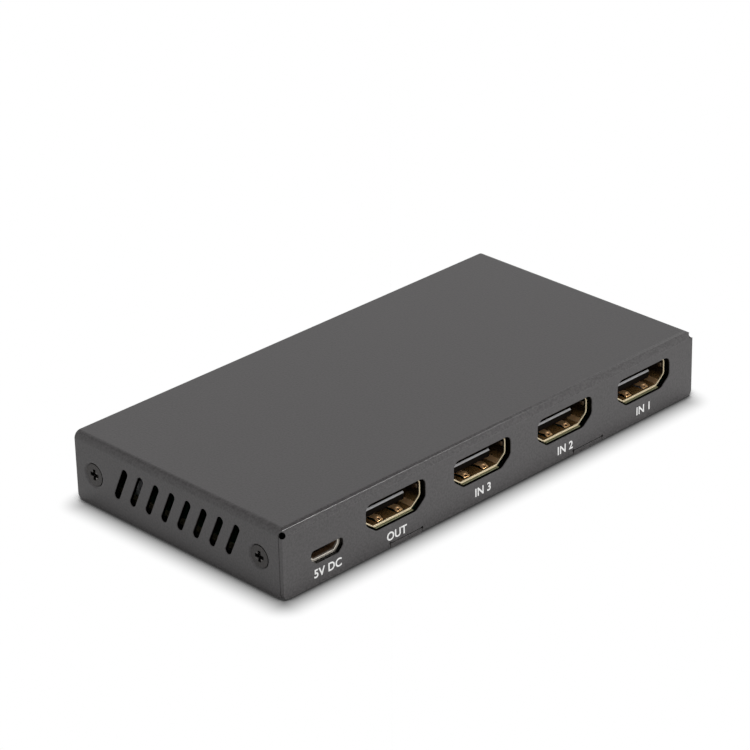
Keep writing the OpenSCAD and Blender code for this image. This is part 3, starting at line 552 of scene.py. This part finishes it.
def leaded_chip(node, body_width):
    """Black epoxy on a chip's body and tin on the leads past it."""
    finish = Finish(node + "_epoxy", {"IOR": 1.5}, middle(node))
    half = body_width / 2
    reach = finish.math("MAXIMUM", abs(finish.x), abs(finish.y))
    lead = reach > half + 0.01
    grain = finish.noise(0.10, detail=3.0)
    dimple_place = half - 1.6
    from_dimple = finish.radius(finish.x + dimple_place, finish.y + dimple_place)
    dimple = 1 - finish.band(from_dimple, 0.45, 0.55)
    epoxy = finish.mix(grain, (0.014, 0.014, 0.015), (0.034, 0.034, 0.035))
    finish.surface({
        "Base Color": finish.mix(lead, epoxy, (0.72, 0.72, 0.70)),
        "Metallic": lead,
        "Roughness": 0.62 - 0.34 * lead + 0.15 * grain,
        "Normal": finish.bump(grain - 2.0 * dimple, 0.010),
    })
    return finish.material


def small_parts(node, length, pitch, body, ends):
    """A row of chip parts along X, each with tinned ends."""
    finish = Finish(node + "_ends", {"IOR": 1.6}, middle(node))
    low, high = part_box(node)
    along = (finish.x + (high.x - low.x) / (2 * MM)) % pitch
    end = abs(along - length / 2) > length * 0.30
    grain = finish.noise(0.12, detail=3.0)
    darker = [0.8 * channel for channel in body]
    finish.surface({
        "Base Color": finish.mix(end, finish.mix(grain, body, darker), ends),
        "Metallic": end,
        "Roughness": 0.48 - 0.16 * end + 0.16 * grain,
        "Normal": finish.bump(grain, 0.006),
    })
    return finish.material


def ferrite():
    finish = Finish("wound_ferrite", {"IOR": 1.7}, middle("power_inductor"))
    grain = finish.noise(0.09, detail=4.0)
    plate = finish.band(finish.radius(finish.x, finish.y), 2.1, 2.2)
    finish.surface({
        "Base Color": finish.mix(grain, (0.030, 0.029, 0.030), (0.080, 0.077, 0.078)),
        "Roughness": 0.50 + 0.2 * grain,
        "Normal": finish.bump(grain + plate, 0.02),
    })
    return finish.material


def light_lens():
    finish = Finish("status_light_lens", {"IOR": 1.5})
    body = finish.noise(0.3)
    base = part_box("status_lights")[0].z / MM
    crown = finish.band(finish.z, base + 0.75, base + 0.85)
    finish.surface({
        "Base Color": finish.mix(crown, (0.78, 0.77, 0.72), (0.85, 0.82, 0.50)),
        "Roughness": 0.22 + 0.15 * body,
        "Normal": finish.bump(body, 0.008),
    })
    return finish.material


FINISHES = {
    "powder_coat": powder_coat(),
    "black_screw": black_screw(),
    "gloss_panel": gloss_panel(),
    "tape": foam_tape(),
    "button_metal": button_metal(),
    "stem_plastic": moulded_plastic(
        "black_stem_plastic", (0.030, 0.030, 0.031), (0.014, 0.014, 0.015), 0.42,
    ),
    "switch_plastic": moulded_plastic(
        "dark_switch_plastic", (0.050, 0.050, 0.052), (0.026, 0.026, 0.027), 0.50,
    ),
    "plunger_plastic": moulded_plastic(
        "plunger_plastic", (0.085, 0.085, 0.085), (0.050, 0.050, 0.050), 0.40,
    ),
    "tinned_metal": turned_metal("tinned_metal", (0.80, 0.80, 0.79), (0.62, 0.62, 0.62), 0.26),
    "board": circuit_board(),
    "standoff_brass": turned_metal("standoff_brass", (0.86, 0.66, 0.34), (0.62, 0.45, 0.20), 0.24),
    "screw_steel": turned_metal("board_screw_steel", (0.72, 0.72, 0.74), (0.48, 0.48, 0.50), 0.28),
    "port_shell": port_shell(),
    "power_shell": power_shell(),
    "port_plastic": port_plastic(),
    "contact_gold": contact_gold(),
    "ferrite": ferrite(),
    "light_lens": light_lens(),
}
NODE_FINISHES = {
    "switch_chip": leaded_chip("switch_chip", 14.0),
    "control_chip": leaded_chip("control_chip", 5.0),
    "regulator_chip": leaded_chip("regulator_chip", 7.0),
    "protection_arrays": moulded_plastic(
        "array_epoxy", (0.040, 0.040, 0.041), (0.018, 0.018, 0.019), 0.58,
    ),
    "capacitors": small_parts("capacitors", 2.0, 2.6, (0.42, 0.29, 0.16), (0.74, 0.73, 0.70)),
    "resistors": small_parts("resistors", 1.6, 2.6, (0.020, 0.020, 0.022), (0.74, 0.73, 0.70)),
}
INK = white_ink()


def pick_only(piece):
    """Makes a piece the only one that is selected, and the active one."""
    bpy.ops.object.select_all(action="DESELECT")
    piece.select_set(True)
    bpy.context.view_layer.objects.active = piece


def apply_modifier(piece, kind, **settings):
    modifier = piece.modifiers.new(kind.lower(), kind)
    for name, value in settings.items():
        setattr(modifier, name, value)
    bpy.ops.object.modifier_apply(modifier=modifier.name)


def eased(node, width, spared=None):
    """Stands a copy with rounded edges in for a CAD node. Edges whose ends are both spared stay sharp."""
    source = nodes[node]
    piece = bpy.data.objects.new(node + "_eased", source.data.copy())
    bpy.context.scene.collection.objects.link(piece)
    pick_only(piece)
    bpy.ops.mesh.customdata_custom_splitnormals_clear()
    bpy.ops.object.mode_set(mode="EDIT")
    bpy.ops.mesh.select_mode(type="EDGE")
    bpy.ops.mesh.select_all(action="SELECT")
    bpy.ops.mesh.remove_doubles(threshold=WELD)
    bpy.ops.mesh.dissolve_limited(angle_limit=FLAT_ANGLE)
    bpy.ops.mesh.select_all(action="DESELECT")
    bpy.ops.mesh.edges_select_sharp(sharpness=SHARP_ANGLE)
    bpy.ops.object.mode_set(mode="OBJECT")
    points = piece.data.vertices
    for edge in piece.data.edges:
        if spared and edge.select and all(spared(points[i].co) for i in edge.vertices):
            edge.select = False
    bpy.ops.object.mode_set(mode="EDIT")
    bpy.ops.mesh.bevel(
        offset=width, segments=ROUND_SEGMENTS, affect="EDGES", clamp_overlap=False, miter_outer="ARC",
    )
    bpy.ops.object.mode_set(mode="OBJECT")
    draw_back(piece, source, width)
    bpy.ops.object.shade_smooth_by_angle(angle=SHARP_ANGLE)
    apply_modifier(piece, "WEIGHTED_NORMAL", keep_sharp=True)
    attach(piece, source["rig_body"])
    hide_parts(node)


def draw_back(piece, source, reach):
    """Puts points that a bevel threw past reach, or out of the CAD box, back on the CAD surface."""
    low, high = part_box(source.name)
    for point in piece.data.vertices:
        place = source.closest_point_on_mesh(point.co)[1]
        outside = any(point.co[i] < low[i] or point.co[i] > high[i] for i in range(3))
        if outside or (point.co - place).length > reach:
            point.co = place


def stays_sharp(place):
    """True on the cover along its foot and at its rear top corners."""
    corner = Vector((math.copysign(cad_high.x, place.x), cad_high.y, cad_high.z))
    return place.z < FOOT_BAND or (place - corner).length < RELIEF_ROOM


def printed_mark(name, words, cap_height, foot, facing, body):
    """Words in a thin coat of ink. Foot is the baseline's middle. Facing is 1 for rear, -1 for front."""
    bpy.ops.object.select_all(action="DESELECT")
    bpy.ops.object.text_add()
    mark = bpy.context.object
    mark.name = name
    mark.data.body = words
    mark.data.align_x = "CENTER"
    mark.data.size = cap_height / CAP_SHARE
    mark.data.space_character = LETTER_SPACING
    mark.data.extrude = INK_THICKNESS / 2
    mark.data.offset = INK_SPREAD
    bpy.ops.object.convert(target="MESH")
    turn = Matrix.Rotation(math.pi if facing > 0 else 0.0, 4, "Z")
    stand = Matrix.Rotation(math.pi / 2, 4, "X")
    mark.matrix_world = Matrix.Translation(foot) @ turn @ stand
    bpy.ops.object.transform_apply()
    mark.data.materials.clear()
    mark.data.materials.append(INK)
    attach(mark, body)


for name, node in nodes.items():
    node.material_slots[0].material = NODE_FINISHES.get(name) or FINISHES[SLOTS[name]]

for name, width in EDGE_ROUNDS.items():
    eased(name, width, spared=stays_sharp if name == "top_cover" else None)
for port in VIDEO_PORTS:
    eased(port + "_port_shell", VIDEO_PORT_ROUND)

rear_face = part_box("top_cover")[1].y
panel_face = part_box("front_panel")[0].y
for port, words in MARKS.items():
    port_x = middle(port + "_port_shell").x
    foot = Vector((port_x, rear_face + INK_THICKNESS / 4, MARK_BASELINE))
    printed_mark(port + "_mark", words, MARK_CAP_HEIGHT, foot, 1, "case")
button_foot = Vector((middle("button_cap").x, panel_face - INK_THICKNESS / 4, BUTTON_MARK_BASELINE))
printed_mark("button_mark", BUTTON_MARK, BUTTON_CAP_HEIGHT, button_foot, -1, "case")


def studio_floor():
    """A white floor that camera and reflections see as a glow, darkened round the case's foot by a painted
    shadow, and beside the power end in reflections by painted shade.
    """
    bpy.ops.object.select_all(action="DESELECT")
    bpy.ops.mesh.primitive_plane_add(size=FLOOR_SIZE, location=(0, 0, 0))
    floor = bpy.context.object
    floor.name = "studio_floor"
    white = (FLOOR_WHITE, FLOOR_WHITE, FLOOR_WHITE)
    finish = Finish("white_studio_floor", {
        "Roughness": 1.0,
        "Specular IOR Level": 0.0,
        "Base Color": white,
    })
    low, high = (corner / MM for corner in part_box("top_cover"))
    low += Vector((1, 1, 0)) * CONTACT_DRAW / MM
    centre = (low + high) / 2
    half = (high - low) / 2
    past_x = finish.math("MAXIMUM", abs(finish.x - centre.x) - half.x, 0.0)
    past_y = finish.math("MAXIMUM", abs(finish.y - centre.y) - half.y, 0.0)
    reach = CONTACT_REACH / MM
    # Painted shadow: darker the nearer the case's footprint, drawn towards the rear power corner
    beside = 1 - finish.band(finish.radius(past_x, past_y), -CONTACT_INSET * reach, reach)
    openness = {"Distance": CONTACT_REACH / 2}
    open_share = finish.node("AmbientOcclusion", {"samples": CONTACT_SAMPLES}, openness, "AO")
    under = 1 - finish.band(open_share, *CONTACT_OPEN)
    seen = finish.node("LightPath", output="Is Camera Ray")
    mirrored = seen.output("Is Glossy Ray")
    # Painted shade: the floor beyond the power end is darker in reflections alone
    reflection_dimming = SIDE_REFLECTION_SHADE * mirrored * finish.band(finish.x - high.x, 0.0, SIDE_REFLECTION_FADE / MM)
    level = (1 - CONTACT_SHADE * finish.math("MAXIMUM", beside, under)) * (1 - reflection_dimming)
    shade = finish.mix(level, (0.0, 0.0, 0.0), (1.0, 1.0, 1.0))
    glow = finish.node("Emission", sockets={"Color": shade, "Strength": 1.0})
    lit = Signal(finish, finish.shader.outputs["BSDF"])
    either = finish.math("MAXIMUM", seen, mirrored)
    both = finish.node("MixShader", sockets={0: either, 1: lit, 2: glow})
    finish.tree.links.new(both.socket, finish.tree.nodes["Material Output"].inputs["Surface"])
    floor.data.materials.append(finish.material)


def studio_sky():
    """White to the camera, a backdrop in reflections, and a soft leaning light for everything else."""
    world = bpy.data.worlds.new("studio_sky")
    world.use_nodes = True
    bpy.context.scene.world = world
    sky = Wiring(world.node_tree)
    path = sky.node("LightPath", output="Is Camera Ray")
    mirrored = sky.math("MAXIMUM", path.output("Is Glossy Ray"), path.output("Is Transmission Ray"))
    direction = sky.node("TexCoord", output="Generated")
    along_x = sky.node("SeparateXYZ", sockets={"Vector": direction})
    upper = sky.band(along_x.output("Z"), *BACKDROP_TOP)
    along_y = along_x.output("Y")
    front = sky.band(-1 * along_y, *FRONT_BAND)
    reflected = (1 - upper * (1 - UPPER_SKY)) * (1 - FRONT_DIM * front)
    lean_x, lean_y = SKY_LEAN
    soft = SKY_LEVEL * (1 + lean_x * along_x + lean_y * along_y)
    unseen = mirrored * reflected + (1 - mirrored) * soft
    strength = path + (1 - path) * unseen
    background = sky.tree.nodes["Background"]
    background.inputs["Color"].default_value = (1.0, 1.0, 1.0, 1.0)
    sky.feed(background.inputs["Strength"], strength)


def key_lamp():
    lamp = bpy.data.lights.new("key_lamp", "SUN")
    lamp.energy = KEY_STRENGTH
    lamp.angle = KEY_SPREAD
    holder = bpy.data.objects.new("key_lamp", lamp)
    holder.rotation_euler = KEY_TOWARDS.to_track_quat("Z", "Y").to_euler()
    bpy.context.scene.collection.objects.link(holder)


def photo_camera():
    tilt = Matrix.Rotation(math.pi / 2 - CAMERA_ELEVATION, 4, "X")
    turn = Matrix.Rotation(CAMERA_AZIMUTH, 4, "Z") @ tilt
    right, up, back = (turn.col[i].to_3d() for i in range(3))
    target = (cad_low + cad_high) / 2
    target.y = 0.0
    data = bpy.data.cameras.new("photo_camera")
    data.lens = CAMERA_LENS
    data.clip_start, data.clip_end = CAMERA_CLIP
    camera = bpy.data.objects.new("photo_camera", data)
    place = target + AIM_RIGHT * right + AIM_UP * up + CAMERA_DISTANCE * back
    camera.matrix_world = Matrix.Translation(place) @ turn @ Matrix.Rotation(CAMERA_ROLL, 4, "Z")
    bpy.context.scene.collection.objects.link(camera)
    bpy.context.scene.camera = camera


studio_floor()
studio_sky()
key_lamp()
photo_camera()
bpy.context.scene.view_settings.view_transform = "Standard"
